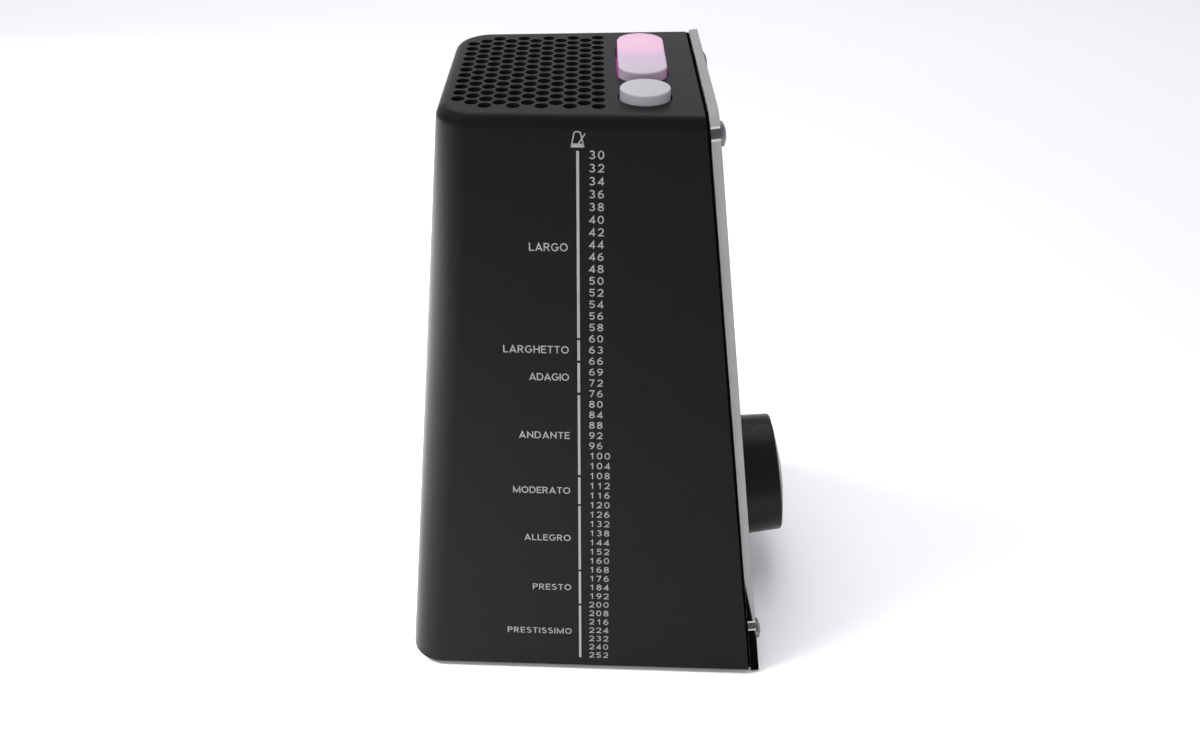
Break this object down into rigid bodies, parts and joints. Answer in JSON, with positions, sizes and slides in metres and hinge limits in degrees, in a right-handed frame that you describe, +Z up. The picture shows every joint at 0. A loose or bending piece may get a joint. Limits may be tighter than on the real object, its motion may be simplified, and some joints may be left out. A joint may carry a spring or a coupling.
{
  "type": "electronic metronome",
  "caption": "Electronic metronome in a leaning four-sided black body, with a clear front plate, a large tempo dial, a grille and two keys on top.",
  "frame": {"origin": "middle of the whole plan, from the front of the dial to the lower back edge, on the surface that the rubber feet stand on", "axes": "+Z up, the front with the clear plate and dial faces -Y, +X to the right for someone looking along +Y"},
  "size_m": [0.0864, 0.0922, 0.1334],
  "materials": {
    "black_plastic": "fine matte texture",
    "dial_plastic": "satin",
    "white_plastic": "satin, slightly translucent",
    "black_film": "gloss",
    "clear_acrylic": "clear, polished",
    "dark_steel": "dark zinc",
    "steel": "plain",
    "brass": "plain",
    "rubber": "matte",
    "circuit_board": "satin",
    "chip_resin": "matte",
    "red_display": "smoked red",
    "red_lens": "clear red",
    "white_lens": "clear white",
    "blue_sleeve": "shrink sleeve",
    "black_cloth": "woven",
    "foam": "open foam",
    "cone_paper": "pressed paper",
    "ferrite": "matte",
    "battery_label": "printed sleeve, unlettered",
    "grey_wire": "satin",
    "red_wire": "satin"
  },
  "bodies": {
    "housing": {"body_shell": "black_plastic", "base_cover": "black_plastic", "base_screws": "dark_steel", "foot_front_left": "rubber", "foot_front_right": "rubber", "foot_back_left": "rubber", "foot_back_right": "rubber", "front_sheet": "black_film", "acrylic_plate": "clear_acrylic", "plate_screws": "dark_steel", "plate_inserts": "brass", "front_board": "circuit_board", "front_board_screws": "steel", "tempo_display": "red_display", "pendulum_leds": "red_lens", "controller_chip": "chip_resin", "amplifier_chip": "chip_resin", "quartz_crystal": "steel", "capacitors": "blue_sleeve", "encoder_body": "steel", "encoder_bushing": "steel", "encoder_washer": "steel", "encoder_nut": "steel", "grille_cloth": "black_cloth", "speaker_gasket": "foam", "speaker_basket": "steel", "speaker_surround": "rubber", "speaker_cone": "cone_paper", "speaker_dust_cap": "cone_paper", "speaker_magnet": "ferrite", "speaker_yoke": "steel", "speaker_bracket": "steel", "speaker_screws": "steel", "button_board": "circuit_board", "button_board_screws": "steel", "start_switch": "chip_resin", "tap_switch": "chip_resin", "beat_led": "white_lens", "battery_tray": "black_plastic", "battery_tray_screws": "steel", "battery_springs": "steel", "battery_contacts": "steel", "battery_1": "battery_label", "battery_2": "battery_label", "battery_3": "battery_label", "side_board": "circuit_board", "phones_jack": "chip_resin", "volume_pot": "steel", "board_cable": "grey_wire", "speaker_leads": "red_wire", "battery_leads": "red_wire"},
    "tempo_knob": {"tempo_dial": "dial_plastic", "encoder_shaft": "steel"},
    "start_key": {"start_button": "white_plastic", "start_plunger": "white_plastic"},
    "tap_key": {"tap_button": "white_plastic", "tap_plunger": "white_plastic"},
    "volume_knob": {"volume_wheel": "dial_plastic"},
    "door": {"battery_door": "black_plastic"}
  },
  "joints": [
    {"name": "dial_turn", "type": "hinge", "parent": "housing", "child": "tempo_knob", "pos_m": [0, -0.03427, 0.02574], "axis": [0, -0.9927, 0.121], "continuous": true},
    {"name": "start_press", "type": "slide", "parent": "housing", "child": "start_key", "axis": [0, 0, -1], "range_m": [0, 0.0006], "stiffness_N_per_m": 1500},
    {"name": "tap_press", "type": "slide", "parent": "housing", "child": "tap_key", "axis": [0, 0, -1], "range_m": [0, 0.0006], "stiffness_N_per_m": 1500},
    {"name": "volume_turn", "type": "hinge", "parent": "housing", "child": "volume_knob", "pos_m": [0.02554, 0.02101, 0.07582], "axis": [-0.1159, -0.005, 0.9933], "range_deg": [-135, 135]},
    {"name": "door_open", "type": "hinge", "parent": "housing", "child": "door", "pos_m": [0, 0.04342, 0.0163], "axis": [-1, 0, 0], "range_deg": [0, 90]}
  ]
}
